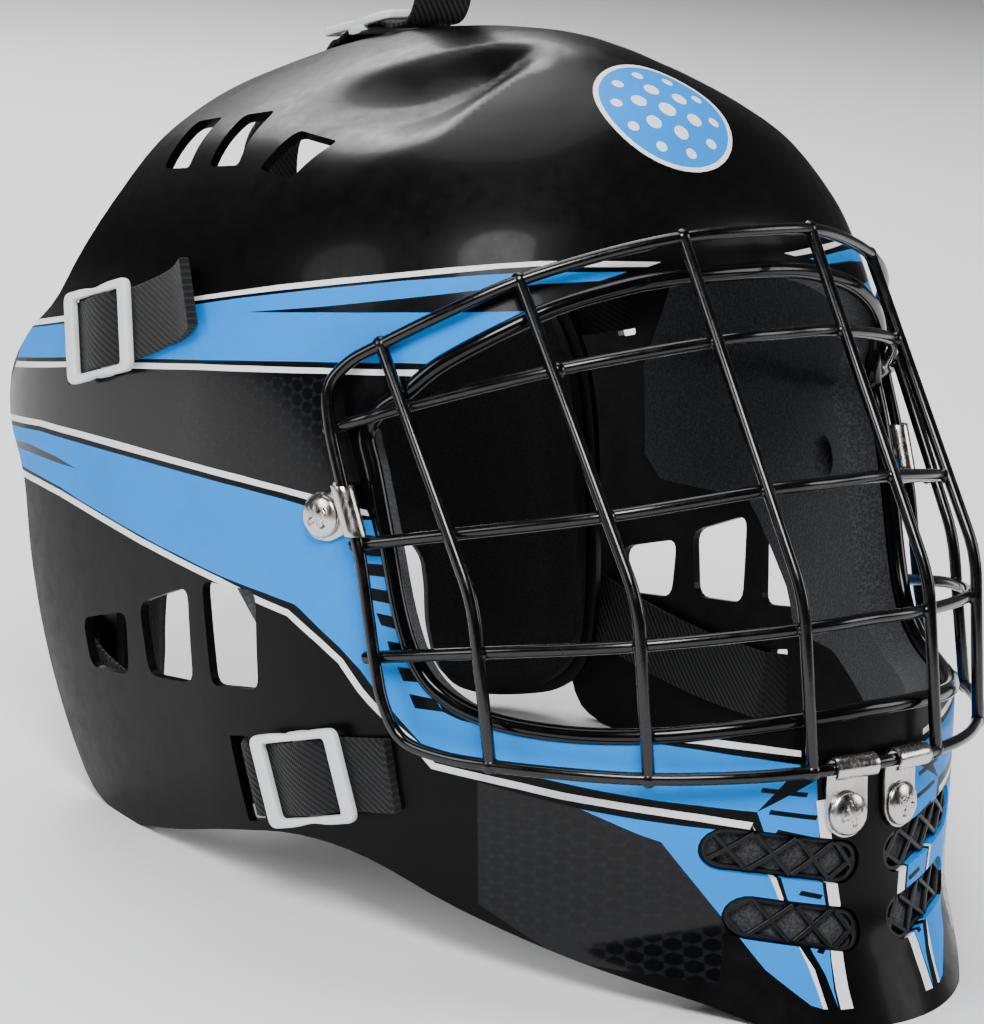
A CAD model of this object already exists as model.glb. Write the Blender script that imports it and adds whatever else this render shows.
import math

import bmesh
import bpy
from bmesh.types import BMEdge, BMFace, BMVert
from mathutils import Matrix, Vector


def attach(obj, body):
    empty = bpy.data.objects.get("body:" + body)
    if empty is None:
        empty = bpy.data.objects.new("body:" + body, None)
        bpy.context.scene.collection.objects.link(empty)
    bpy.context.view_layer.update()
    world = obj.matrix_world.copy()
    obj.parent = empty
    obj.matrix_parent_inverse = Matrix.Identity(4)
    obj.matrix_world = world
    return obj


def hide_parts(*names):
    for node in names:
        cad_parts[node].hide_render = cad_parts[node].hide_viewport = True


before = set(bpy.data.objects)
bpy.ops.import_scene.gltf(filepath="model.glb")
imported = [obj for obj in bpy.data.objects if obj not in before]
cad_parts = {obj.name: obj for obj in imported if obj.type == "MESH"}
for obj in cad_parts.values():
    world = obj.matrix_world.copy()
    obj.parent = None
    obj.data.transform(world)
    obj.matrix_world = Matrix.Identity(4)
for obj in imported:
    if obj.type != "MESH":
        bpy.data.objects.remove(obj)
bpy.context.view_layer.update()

REST_TILT = math.atan2(32, 251)
STAND = (Matrix.Scale(0.001, 4) @ Matrix.Translation((0, -29.6233, -16.1008))
         @ Matrix.Rotation(-REST_TILT, 4, 'X'))

# ---- camera ------------------------------------------------------------------------------------

VIEW_TURN = math.radians(-38.5)
VIEW_RISE = math.radians(8.683)
EYE = Vector((-778.5, -929.6, 317.4))
LENS = 135.85


def place_camera():
    turn = Matrix.Rotation(VIEW_TURN, 4, 'Z') @ Matrix.Rotation(math.pi / 2 - VIEW_RISE, 4, 'X')
    data = bpy.data.cameras.new("camera")
    data.lens = LENS
    data.sensor_width = 36
    data.clip_end = 50
    camera = bpy.data.objects.new("camera", data)
    camera.location = STAND @ EYE
    camera.rotation_euler = (Matrix.Rotation(-REST_TILT, 4, 'X') @ turn).to_euler()
    bpy.context.scene.collection.objects.link(camera)
    bpy.context.scene.camera = camera


place_camera()

# ---- materials ---------------------------------------------------------------------------------

TAU = 2 * math.pi


def tone(code):
    """The linear colour of an sRGB hex code."""
    parts = [int(code[i:i + 2], 16) / 255 for i in (1, 3, 5)]
    return [c / 12.92 if c <= 0.04045 else ((c + 0.055) / 1.055) ** 2.4 for c in parts] + [1]


def add(tree, kind, settings=None, links=None):
    """Adds a node: settings are its own properties or its inputs' values, links feed its inputs."""
    node = tree.nodes.new(kind)
    for key, value in (settings or {}).items():
        if isinstance(key, str) and hasattr(node, key) and key not in node.inputs:
            setattr(node, key, value)
        else:
            node.inputs[key].default_value = value
    for key, source in (links or {}).items():
        tree.links.new(source, node.inputs[key])
    return node


def material(name, **shader):
    """A named material and its tree, with values set on the shader's own sockets."""
    made = bpy.data.materials.new(name)
    made.use_nodes = True
    body = made.node_tree.nodes["Principled BSDF"]
    for key, value in shader.items():
        socket = body.inputs[key.replace("_", " ").title().replace("Ior", "IOR")]
        socket.default_value = tone(value) if isinstance(value, str) else value
    return made, made.node_tree, body


def ramp(tree, source, stops):
    """A colour ramp with (position, colour) stops."""
    node = add(tree, "ShaderNodeValToRGB", links={"Fac": source})
    node.color_ramp.elements[0].position = stops[0][0]
    node.color_ramp.elements[0].color = tone(stops[0][1])
    node.color_ramp.elements[1].position = stops[-1][0]
    node.color_ramp.elements[1].color = tone(stops[-1][1])
    for position, code in stops[1:-1]:
        node.color_ramp.elements.new(position).color = tone(code)
    return node.outputs["Color"]


def spread(tree, source, low, high, to_low, to_high):
    """Maps low..high to to_low..to_high, clamped."""
    return add(tree, "ShaderNodeMapRange", {
        "From Min": low, "From Max": high, "To Min": to_low, "To Max": to_high,
    }, {"Value": source}).outputs["Result"]


def bump(tree, body, height, distance, strength=1.0):
    """Raises the surface by height times distance, in metres."""
    node = add(tree, "ShaderNodeBump", {"Strength": strength, "Distance": distance},
               {"Height": height})
    tree.links.new(node.outputs["Normal"], body.inputs["Normal"])


def noise(tree, where, per_metre, detail=2.0, rough=0.5):
    return add(tree, "ShaderNodeTexNoise", {"Scale": per_metre, "Detail": detail,
                                            "Roughness": rough}, {"Vector": where}).outputs["Fac"]


def wave(tree, where, step):
    """A cosine of the UV position, `step` radians to the millimetre each way."""
    dot = add(tree, "ShaderNodeVectorMath", {"operation": "DOT_PRODUCT", 1: step}, {0: where})
    return add(tree, "ShaderNodeMath", {"operation": "COSINE"},
               {0: dot.outputs["Value"]}).outputs[0]


def printed(name, colour, darker, roughness, peel=0.00003, coat=0.05, shine=0.15):
    """Screen-printed lacquer over moulded ABS: even colour, a clear coat with a slight orange peel
    about 3 mm across, and duller patches where hands have rubbed it."""
    made, tree, body = material(name, roughness=roughness, ior=1.5, coat_weight=coat,
                                coat_roughness=0.1, specular_ior_level=shine)
    where = add(tree, "ShaderNodeTexCoord").outputs["Object"]
    patches = noise(tree, where, 28, 4)
    tree.links.new(ramp(tree, patches, [(0.35, darker), (0.6, colour)]), body.inputs["Base Color"])
    haze = noise(tree, where, 160, 5, 0.65)
    tree.links.new(spread(tree, haze, 0.3, 0.75, roughness - 0.05, roughness + 0.13),
                   body.inputs["Roughness"])
    bump(tree, body, noise(tree, where, 330, 2), peel, 0.6)
    return made


# Moulded ABS with an even satin lacquer: nearly black, soft broad highlights.
SATIN_BLACK = printed("satin_black_lacquer_on_ABS", "#09090A", "#070708", 0.33, shine=0.08)
# Clear-coated black film: deeper and shinier than the lacquer round it.
GLOSS_BLACK = printed("gloss_black_film", "#08080A", "#070708", 0.16, coat=0.2)
# Screen-printed ink under clear coat: saturated sky blue.
BLUE_INK = printed("sky_blue_screen_print", "#0091F6", "#008CEE", 0.32, coat=0.0, shine=0.04)
# Screen-printed opaque white, a trace bluish.
WHITE_INK = printed("white_screen_print", "#F8F9FD", "#F2F4F9", 0.3, coat=0.0)
# Bare ABS inside the shell: matt, with mould texture about 1 mm across.
BARE_ABS = printed("bare_black_ABS", "#0B0B0D", "#09090B", 0.55, peel=0.0001, coat=0.0)


def honeycomb_film():
    """The same film with a tone-on-tone honeycomb, 4.2 mm across the cells."""
    made, tree, body = material("honeycomb_black_film", roughness=0.16, ior=1.5, coat_weight=0.2,
                                coat_roughness=0.06, specular_ior_level=0.15)
    where = add(tree, "ShaderNodeUVMap").outputs["UV"]
    pitch = 3.6
    waves = [wave(tree, where, [TAU / pitch * math.cos(math.radians(turn)),
                                TAU / pitch * math.sin(math.radians(turn)), 0])
             for turn in (0, 60, 120)]
    pair = add(tree, "ShaderNodeMath", {"operation": "ADD"}, {0: waves[0], 1: waves[1]})
    cells = add(tree, "ShaderNodeMath", {"operation": "ADD"}, {0: pair.outputs[0], 1: waves[2]})
    line = spread(tree, cells.outputs[0], -1.2, -0.5, 0.0, 1.0)
    tree.links.new(ramp(tree, line, [(0.0, "#121417"), (1.0, "#09090B")]),
                   body.inputs["Base Color"])
    tree.links.new(spread(tree, line, 0, 1, 0.3, 0.16), body.inputs["Roughness"])
    return made


HONEYCOMB = honeycomb_film()


def foam(name, light, dark):
    """Closed-cell EVA foam: matt dark grey with pores and grains about 0.7 mm across."""
    made, tree, body = material(name, roughness=0.9, ior=1.45, sheen_weight=0.1,
                                sheen_roughness=0.6, specular_ior_level=0.3)
    where = add(tree, "ShaderNodeTexCoord").outputs["Object"]
    pores = add(tree, "ShaderNodeTexVoronoi", {"Scale": 1100.0, "Randomness": 1.0},
                {"Vector": where}).outputs["Distance"]
    grain = noise(tree, where, 1500, 3, 0.7)
    both = add(tree, "ShaderNodeMath", {"operation": "MULTIPLY"}, {0: pores, 1: grain})
    tree.links.new(ramp(tree, both.outputs[0], [(0.05, dark), (0.4, light)]),
                   body.inputs["Base Color"])
    bump(tree, body, both.outputs[0], 0.0006, 0.8)
    return made


LINING_FOAM = foam("charcoal_EVA_foam", "#44464B", "#1C1D20")
PAD_FOAM = foam("black_EVA_foam", "#1A1B1D", "#0C0C0E")


def powder_coat():
    """Gloss powder coat on steel wire: black, flowing, with a faint orange peel 2 mm across."""
    made, tree, body = material("gloss_black_powder_coat", base_color="#060607", ior=1.5,
                                coat_weight=0.3, coat_roughness=0.04, specular_ior_level=0.35)
    where = add(tree, "ShaderNodeTexCoord").outputs["Object"]
    tree.links.new(spread(tree, noise(tree, where, 220, 4), 0.3, 0.7, 0.16, 0.3),
                   body.inputs["Roughness"])
    bump(tree, body, noise(tree, where, 480, 1), 0.00004, 0.6)
    return made


POWDER_COAT = powder_coat()


def nickel():
    """Bright nickel plate on pressed steel: mirror-like with faint drawing marks and dull spots."""
    made, tree, body = material("bright_nickel_plate", base_color="#CFCBC6", metallic=1.0)
    where = add(tree, "ShaderNodeTexCoord").outputs["Object"]
    drawn = add(tree, "ShaderNodeMapping", {"Scale": (900, 900, 90)}, {"Vector": where})
    marks = add(tree, "ShaderNodeTexNoise", {"Scale": 1.0, "Detail": 3.0},
                {"Vector": drawn.outputs["Vector"]}).outputs["Fac"]
    tree.links.new(spread(tree, marks, 0.3, 0.75, 0.14, 0.34), body.inputs["Roughness"])
    bump(tree, body, marks, 0.00002, 0.4)
    return made


NICKEL = nickel()


def moulded(name, colour, darker, roughness, grit=0.00005):
    """Injection-moulded plastic with a fine spark-eroded texture, drawn 0.5 mm so that it shows."""
    made, tree, body = material(name, roughness=roughness, ior=1.46, specular_ior_level=0.35)
    where = add(tree, "ShaderNodeTexCoord").outputs["Object"]
    tree.links.new(ramp(tree, noise(tree, where, 60, 4), [(0.35, darker), (0.65, colour)]),
                   body.inputs["Base Color"])
    fine = noise(tree, where, 1900, 2)
    tree.links.new(spread(tree, fine, 0.3, 0.7, roughness - 0.06, roughness + 0.08),
                   body.inputs["Roughness"])
    bump(tree, body, fine, grit, 0.6)
    return made


GRID_NYLON = moulded("satin_black_nylon", "#0E0E10", "#0B0B0C", 0.42)
PLATE_PE = moulded("satin_black_polyethylene", "#0F1011", "#0C0C0E", 0.48)
BUCKLE_ACETAL = moulded("white_acetal", "#F1F2F3", "#E3E5E8", 0.36)
# Wet-looking soft PVC piping: black, smooth, sharp highlights.
PIPING = printed("gloss_black_PVC_piping", "#070708", "#060607", 0.14, coat=0.4)


def webbing():
    """Elastic polyester webbing: a fine twill, its ribs 1.7 mm apart and slanting across it."""
    made, tree, body = material("black_elastic_webbing", roughness=0.8, ior=1.45,
                                sheen_weight=0.12, sheen_roughness=0.5, specular_ior_level=0.25)
    where = add(tree, "ShaderNodeUVMap").outputs["UV"]
    waves = [wave(tree, where, [TAU / along, TAU / across, 0])
             for along, across in ((2.6, -2.2), (0.9, 1.1))]
    yarn = add(tree, "ShaderNodeMath", {"operation": "MULTIPLY", 1: 0.35}, {0: waves[1]})
    weave = add(tree, "ShaderNodeMath", {"operation": "ADD"},
                {0: waves[0], 1: yarn.outputs[0]}).outputs[0]
    height = spread(tree, weave, -1.2, 1.2, 0, 1)
    tree.links.new(ramp(tree, height, [(0.1, "#080809"), (0.9, "#1E1F21")]),
                   body.inputs["Base Color"])
    bump(tree, body, height, 0.0004, 0.9)
    return made


WEBBING = webbing()

# ---- tools -------------------------------------------------------------------------------------


def curve(points, steps, closed=False):
    """Catmull-Rom points through the given ones, `steps` to each span."""
    rows = [Vector(p) for p in points]
    count = len(rows)
    spans = count if closed else count - 1
    at = (lambda i: rows[i % count]) if closed else (lambda i: rows[min(max(i, 0), count - 1)])
    line = []
    for i in range(spans):
        a, b, c, d = at(i - 1), at(i), at(i + 1), at(i + 2)
        for j in range(steps):
            t = j / steps
            line.append(b + 0.5 * t * (c - a + t * (2 * a - 5 * b + 4 * c - d
                                                    + t * (3 * (b - c) + d - a))))
    return line if closed else line + [rows[-1]]


def smooth(low, high, x):
    t = min(max((x - low) / (high - low), 0), 1)
    return t * t * (3 - 2 * t)


def basis(x, y, z, at):
    """The matrix with these three axes, at a point."""
    made = Matrix((x, y, z)).transposed().to_4x4()
    made.translation = at
    return made


def only(kind, geom):
    return [item for item in geom if isinstance(item, kind)]


def inside(outline, x, y):
    """Whether a point lies in a closed outline."""
    odd = False
    for i, (ax, ay) in enumerate(outline):
        bx, by = outline[i - 1]
        if (ay > y) != (by > y) and x < (bx - ax) * (y - ay) / (by - ay) + ax:
            odd = not odd
    return odd


ANY_DEPTH = (-1e6, 1e6)
NEAR_SURFACE = (-12, 12)


def trace(bm, outline, view=None, depth=ANY_DEPTH):
    """Cuts the faces of bm along a closed outline in a view's X and Y, and returns the faces near
    it, with their middles in that view. Only faces whose middle lies within `depth` along the
    view's Z are cut."""
    view = view or Matrix()
    back = view.inverted()
    turn = view.to_3x3()

    def span(face):
        local = [back @ v.co for v in face.verts]
        return (min(p.x for p in local), min(p.y for p in local),
                max(p.x for p in local), max(p.y for p in local))

    def meets(box, low_x, low_y, high_x, high_y):
        return box[0] < high_x and box[2] > low_x and box[1] < high_y and box[3] > low_y

    xs = [p[0] for p in outline]
    ys = [p[1] for p in outline]
    boxes = {}
    for face in bm.faces:
        if depth[0] < (back @ face.calc_center_median()).z < depth[1]:
            box = span(face)
            if meets(box, min(xs), min(ys), max(xs), max(ys)):
                boxes[face] = box
    for (ax, ay), (bx, by) in zip(outline, outline[1:] + outline[:1]):
        hit = [f for f, box in boxes.items()
               if meets(box, min(ax, bx) - 1e-3, min(ay, by) - 1e-3,
                        max(ax, bx) + 1e-3, max(ay, by) + 1e-3)]
        edges = {e for f in hit for e in f.edges}
        verts = {v for f in hit for v in f.verts}
        cut = bmesh.ops.bisect_plane(
            bm, geom=hit + list(edges) + list(verts), dist=1e-3,
            plane_co=view @ Vector((ax, ay, 0)), plane_no=turn @ Vector((by - ay, ax - bx, 0)))
        for item in hit + only(BMFace, cut["geom"]):
            boxes[item] = span(item)
    return {face: back @ face.calc_center_median() for face in boxes}


def paint(bm, outline, index, view=None, depth=ANY_DEPTH):
    """Gives the faces inside an outline another material."""
    for face, middle in trace(bm, outline, view, depth).items():
        if inside(outline, middle.x, middle.y):
            face.material_index = index


def punch(bm, outline, view=None, depth=ANY_DEPTH):
    """Removes the faces inside an outline."""
    gone = [face for face, middle in trace(bm, outline, view, depth).items()
            if inside(outline, middle.x, middle.y)]
    bmesh.ops.delete(bm, geom=gone, context='FACES')


def crop(bm, outline, view=None):
    """Removes the faces outside an outline."""
    trace(bm, outline, view)
    back = (view or Matrix()).inverted()
    gone = []
    for face in bm.faces:
        middle = back @ face.calc_center_median()
        if not inside(outline, middle.x, middle.y):
            gone.append(face)
    bmesh.ops.delete(bm, geom=gone, context='FACES')


def mirror_half(bm):
    """Adds the other half and closes the seam on the centre plane."""
    bmesh.ops.mirror(bm, geom=bm.verts[:] + bm.edges[:] + bm.faces[:], merge_dist=0.02, axis='X')
    bmesh.ops.remove_doubles(bm, verts=[v for v in bm.verts if abs(v.co.x) < 0.05], dist=0.02)


def rounded(corners, radius, steps=4):
    """A polygon with its corners rounded."""
    outline = []
    for i, corner in enumerate(corners):
        here = Vector(corner)
        start = here + (Vector(corners[i - 1]) - here).normalized() * radius
        end = here + (Vector(corners[(i + 1) % len(corners)]) - here).normalized() * radius
        for j in range(steps + 1):
            t = j / steps
            outline.append(tuple((1 - t) ** 2 * start + 2 * t * (1 - t) * here + t * t * end))
    return outline


def ring(x, y, radius, sides):
    return [(x + radius * math.cos(TAU * i / sides), y + radius * math.sin(TAU * i / sides))
            for i in range(sides)]


def slot_outline(x0, z0, x1, z1, r, steps=10):
    """A slot with round ends between two tips."""
    turn = math.atan2(z1 - z0, x1 - x0)
    outline = []
    for x, z, start in ((x0 + r * math.cos(turn), z0 + r * math.sin(turn), math.pi / 2),
                        (x1 - r * math.cos(turn), z1 - r * math.sin(turn), -math.pi / 2)):
        for j in range(steps + 1):
            a = turn + start + math.pi * j / steps
            outline.append((x + r * math.cos(a), z + r * math.sin(a)))
    return outline


def sweep(bm, profile, spots, closed=False):
    """Extrudes a closed profile (in each spot's Y and Z) through the spots and caps the ends. The
    `along` and `across` layers hold millimetres for the weave."""
    along = bm.verts.layers.float.get("along") or bm.verts.layers.float.new("along")
    across = bm.verts.layers.float.get("across") or bm.verts.layers.float.new("across")
    loop = [bm.verts.new(spots[0] @ Vector((0, y, z))) for y, z in profile]
    for vert, (y, _) in zip(loop, profile):
        vert[across] = y
    edges = [bm.edges.new((loop[i - 1], loop[i])) for i in range(len(loop))]
    first, travelled = edges, 0.0
    if not closed:
        bmesh.ops.contextual_create(bm, geom=edges)
    for before, after in zip(spots, spots[1:]):
        travelled += (after.translation - before.translation).length
        made = bmesh.ops.extrude_edge_only(bm, edges=edges)["geom"]
        fresh = only(BMVert, made)
        edges = [edge for edge in only(BMEdge, made)
                 if edge.verts[0] in fresh and edge.verts[1] in fresh]
        bmesh.ops.transform(bm, matrix=after @ before.inverted(), verts=fresh)
        for vert in fresh:
            vert[along] = travelled
    if closed:
        bmesh.ops.bridge_loops(bm, edges=list(first) + edges)
    else:
        bmesh.ops.contextual_create(bm, geom=edges)


def track(points, hint, closed=False, scales=None):
    """Frames along points: X ahead, Z as near to `hint` (a vector or a function) as it can be."""
    spots = []
    count = len(points)
    for i, here in enumerate(points):
        if closed:
            ahead = points[(i + 1) % count] - points[i - 1]
        else:
            ahead = points[min(i + 1, count - 1)] - points[max(i - 1, 0)]
        ahead = ahead.normalized()
        up = Vector(hint(here, i)) if callable(hint) else Vector(hint)
        up = (up - ahead * up.dot(ahead)).normalized()
        spot = basis(ahead, up.cross(ahead), up, here)
        if scales:
            spot = spot @ Matrix.Scale(scales[i], 4)
        spots.append(spot)
    return spots


def disc(radius):
    return ring(0, 0, radius, 14)


def strip(width, height, radius, steps=3):
    """A rounded rectangle about the origin."""
    w, h = width / 2, height / 2
    return rounded([(-w, -h), (w, -h), (w, h), (-w, h)], radius, steps)


def thicken(bm, shift):
    """Extrudes an open sheet into a wall: each new vertex moves by shift(vertex). Returns the
    faces of the far side."""
    sheet = bm.faces[:]
    made = bmesh.ops.extrude_face_region(bm, geom=sheet, use_keep_orig=True)["geom"]
    for vert in only(BMVert, made):
        vert.co += shift(vert)
    far = only(BMFace, made)
    bmesh.ops.recalc_face_normals(bm, faces=bm.faces)
    return far


def soften(bm, width, segments=2, angle=50):
    """Bevels every edge sharper than an angle."""
    sharp = [e for e in bm.edges if len(e.link_faces) == 2
             and e.calc_face_angle(0) > math.radians(angle)]
    bmesh.ops.bevel(bm, geom=sharp, affect='EDGES', offset=width, segments=segments, profile=0.5,
                    material=-1, clamp_overlap=True)


def write_weave(bm):
    """Copies the along and across layers to the UV map, in millimetres."""
    along = bm.verts.layers.float["along"]
    across = bm.verts.layers.float["across"]
    uv = bm.loops.layers.uv.new("weave")
    for face in bm.faces:
        for loop in face.loops:
            loop[uv].uv = (loop.vert[along], loop.vert[across])


def piece(name, bm, looks, slot, nodes=(), sharp=38, normals=None):
    """Stands a finished mesh on the floor as a named piece of the mask."""
    bmesh.ops.transform(bm, matrix=STAND, verts=bm.verts)
    mesh = bpy.data.meshes.new(name)
    bm.to_mesh(mesh)
    bm.free()
    for look in looks:
        mesh.materials.append(look)
    mesh.shade_smooth()
    if normals:
        mesh.normals_split_custom_set(normals)
    else:
        mesh.set_sharp_from_angle(angle=math.radians(sharp))
    made = bpy.data.objects.new(name, mesh)
    bpy.context.scene.collection.objects.link(made)
    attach(made, "root")
    if nodes:
        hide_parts(*nodes)
    return made


def pair(name, bm, looks, slot, node, sharp=38):
    """The piece on the wearer's left and its mirror image on the right."""
    bmesh.ops.recalc_face_normals(bm, faces=bm.faces)
    other = bm.copy()
    bmesh.ops.scale(other, vec=(-1, 1, 1), verts=other.verts)
    bmesh.ops.reverse_faces(other, faces=other.faces)
    return [piece(f"{name}_left", bm, looks, slot, [f"{node}_left"], sharp),
            piece(f"{name}_right", other, looks, slot, [f"{node}_right"], sharp)]


# ---- the shell's surface -----------------------------------------------------------------------

WALL = 3
GAP = 0.4
AXIS_Y = 50
TOP_ROW = 17
FLAT_Z = 215      # rows of the flat layout are heights up to here ...
FLAT_SECTION = 10
ROW_MM = 16       # ... and this far apart for each section above it

# Sections of the shell: z, front, back, half, power ahead, power behind.
SECTIONS = [
    (-14, -150, 200, 100, 2.0, 3.0), (0, -143, 200, 104, 2.0, 3.0),
    (15, -136, 202, 107, 2.0, 3.0), (30, -131, 205, 109, 2.0, 3.1),
    (60, -130.5, 210, 114, 2.0, 3.3), (90, -129.5, 215, 117, 2.0, 3.5),
    (120, -123, 220, 118.5, 2.0, 3.6), (150, -108, 222, 119, 2.05, 3.6),
    (180, -88, 220, 118.5, 2.1, 3.5), (200, -75, 215, 116.5, 2.15, 3.3),
    (215, -66, 208, 113, 2.2, 3.0), (230, -60, 200, 105, 2.2, 2.7),
    (248, -48, 186, 90, 2.2, 2.3), (260, -38, 165, 72, 2.1, 2.1),
    (270, -24, 140, 52, 2.0, 2.0), (278, -7, 112, 33, 2.0, 2.0),
    (283, 17, 83, 17, 2.0, 2.0), (284.5, 44, 56, 4, 2.0, 2.0),
]


def section(k):
    """Every section column at level k."""
    i = min(max(int(k), 0), TOP_ROW - 1)
    t = k - i
    rows = [SECTIONS[min(max(j, 0), TOP_ROW)] for j in (i - 1, i, i + 1, i + 2)]
    return [b + 0.5 * t * (c - a + t * (2 * a - 5 * b + 4 * c - d + t * (3 * (b - c) + d - a)))
            for a, b, c, d in zip(*rows)]


def level_of(z):
    """The level at a height: a section's number, and parts of it between two."""
    low, high = 0.0, float(TOP_ROW)
    for _ in range(24):
        middle = (low + high) / 2
        if section(middle)[0] < z:
            low = middle
        else:
            high = middle
    return low


def level_of_row(row):
    if row <= FLAT_Z:
        return level_of(row)
    return min(FLAT_SECTION + (row - FLAT_Z) / ROW_MM, TOP_ROW)


SCOOP_AT = (22, 4)          # the narrow end of the hollow
SCOOP_WAY = (0.86, 0.51)    # and the way it runs from there
SCOOP_LENGTH = 74
SCOOP_DEPTH = 8
SCOOP_FLOOR = 225


def scoop(point):
    """Depth of the hollow on each side of the crown."""
    if point.z < SCOOP_FLOOR:
        return 0
    x = abs(point.x) - SCOOP_AT[0]
    y = point.y - SCOOP_AT[1]
    along = (SCOOP_WAY[0] * x + SCOOP_WAY[1] * y) / SCOOP_LENGTH
    across = SCOOP_WAY[0] * y - SCOOP_WAY[1] * x
    upper = 12 + 26 * along
    lower = 13 + 25 * smooth(0, 0.5, along)
    u = (upper - across) / (upper + lower)
    width = smooth(0, 0.4, u) * (1 - smooth(0.5, 1, u))
    fade = smooth(-0.12, 0.22, along) * (1 - smooth(0.45, 1.05, along))
    return SCOOP_DEPTH * width * fade


def plain_point(k, turn):
    """The shell's outer surface without the hollow."""
    z, front, back, half, ahead, behind = section(k)
    forward = math.cos(turn) > 0
    reach = AXIS_Y - front if forward else back - AXIS_Y
    power = ahead if forward else behind
    r = (abs(math.sin(turn) / half) ** power + abs(math.cos(turn) / reach) ** power) ** (-1 / power)
    return Vector((r * math.sin(turn), AXIS_Y - r * math.cos(turn), z))


def plain_normal(k, turn):
    up = plain_point(min(k + 0.02, TOP_ROW), turn) - plain_point(max(k - 0.02, 0), turn)
    side = plain_point(k, turn + 0.01) - plain_point(k, turn - 0.01)
    return side.cross(up).normalized()


def shell_point(k, turn, off=0.0):
    point = plain_point(k, turn)
    return point + plain_normal(k, turn) * (off - scoop(point))


def shell_normal(k, turn):
    """The normal with the hollow, from the points round about."""
    up = shell_point(min(k + 0.03, TOP_ROW), turn) - shell_point(max(k - 0.03, 0), turn)
    side = shell_point(k, turn + 0.012) - shell_point(k, turn - 0.012)
    return side.cross(up).normalized()


def side_turn(side, y, k):
    """The turn at which section k passes y on one side."""
    _, front, back, half, ahead, behind = section(k)
    forward = y < AXIS_Y
    reach = AXIS_Y - front if forward else back - AXIS_Y
    power = ahead if forward else behind
    x = half * (1 - (abs(y - AXIS_Y) / reach) ** power) ** (1 / power)
    return math.atan2(side * x, AXIS_Y - y)


def front_turn(x, k):
    """The turn at which section k passes x, in front."""
    _, front, _, half, ahead, _ = section(k)
    return math.atan2(x, (AXIS_Y - front) * (1 - (abs(x) / half) ** ahead) ** (1 / ahead))


def leaning(point, normal, side, lean):
    """A frame with Z outward and X forward, raised by `lean` degrees."""
    up = Vector((0, 0, 1))
    level = (up.cross(normal) * -side).normalized()
    rise = (up - normal * normal.z).normalized()
    ahead = level * math.cos(math.radians(lean)) + rise * math.sin(math.radians(lean))
    return basis(ahead, normal.cross(ahead), normal, point)


def shell_frame(side, y, z, lean, off=0.0):
    k = level_of(z)
    turn = side_turn(side, y, k)
    return leaning(shell_point(k, turn, off), plain_normal(k, turn), side, lean)


CHIN_SCREW = (10.6, 60)       # distance from the centre plane, and height
TEMPLE_SCREW = (-10.5, 143)   # y, and height
HOLE_R = 2.9


def chin_frame(side):
    """At a chin screw: X up the wall, Z outward."""
    k = level_of(CHIN_SCREW[1])
    turn = front_turn(side * CHIN_SCREW[0], k)
    normal = plain_normal(k, turn)
    up = (Vector((0, 0, 1)) - normal * normal.z).normalized()
    return basis(up, normal.cross(up), normal, shell_point(k, turn))


def temple_frame(side):
    return shell_frame(side, *TEMPLE_SCREW, 0)


BACK = {"axis": 98, "half": 104, "depth": 74, "power": 2.6, "plate": 2.6, "pad": 9}


def back_frame(side, turn, z, lean, off=0.0):
    """A frame on the back plate, `turn` degrees round from straight back."""
    def at(degrees):
        s = math.sin(math.radians(degrees))
        c = math.cos(math.radians(degrees))
        p = BACK["power"]
        r = (abs(s / BACK["half"]) ** p + abs(c / BACK["depth"]) ** p) ** (-1 / p)
        return Vector((side * r * s, BACK["axis"] + r * c, z))
    along = (at(turn + 0.5) - at(turn - 0.5)).normalized()
    normal = -along.cross(Vector((0, 0, side))).normalized()
    return leaning(at(turn) + normal * off, normal, side, lean)


# The right half of the face opening: degrees round the axis from straight ahead, and height.
OPENING = [
    (0, 88.5), (8, 87.5), (16, 85.5), (23, 83.8), (31, 83.5), (39, 86), (44.5, 91.5), (48, 100),
    (50.5, 115), (52.5, 137), (54.5, 157), (55.8, 168), (54, 175.5), (50.5, 181), (45.5, 190),
    (37, 200), (29, 207), (19, 212), (10, 214), (0, 214.5),
]
MM_PER_DEGREE = 2
OPENING_MIDDLE = 150


def grown(outline, margin, middle=OPENING_MIDDLE):
    """Moves an outline away from the opening's middle."""
    moved = []
    for x, z in outline:
        out = Vector((x * MM_PER_DEGREE, z - middle)).normalized() * margin
        moved.append((x + out.x / MM_PER_DEGREE, z + out.y))
    return moved


def flat_curve(points, steps):
    """The curve through points of two numbers."""
    return [(p.x, p.y) for p in curve([p + (0,) for p in points], steps)]


EDGE = flat_curve(OPENING, 5)

SIDE_VENTS = [
    (5, [(116, 95), (88, 101), (89, 80), (113, 79)]),
    (5, [(80, 105), (52, 114), (52, 83), (77, 82)]),
    (4, [(44, 117), (18, 117), (19, 86), (42, 84)]),
]
CROWN_VENTS = [
    (2, [(97, 240), (106, 254), (92, 256), (82, 241)]),
    (2, [(71, 242), (80, 257), (66, 259), (56, 243)]),
    (2, [(44, 242.5), (42.5, 254), (23.5, 251.3), (27, 240.3)]),
]
CHIN_SLOTS = {"upper": (5, 44, 51, 52.5, 6.6), "lower": (5.5, 24, 45, 32, 6.4)}
STRAP_SLOTS = [(118.5, 184.8, 12), (28.5, 56.5, 9)]     # y, height, lean
SLOT_HALF = 13.75
SLOT_W = 9
TOP_SLOT = (126, 274, 16.3)
TOP_SLOT_W = 11


REST_AT = (-143, -2)     # y and height of a point of the floor


def floor_z(y):
    """The floor, in the layout as worn."""
    return REST_AT[1] + (y - REST_AT[0]) * math.tan(REST_TILT)


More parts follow.
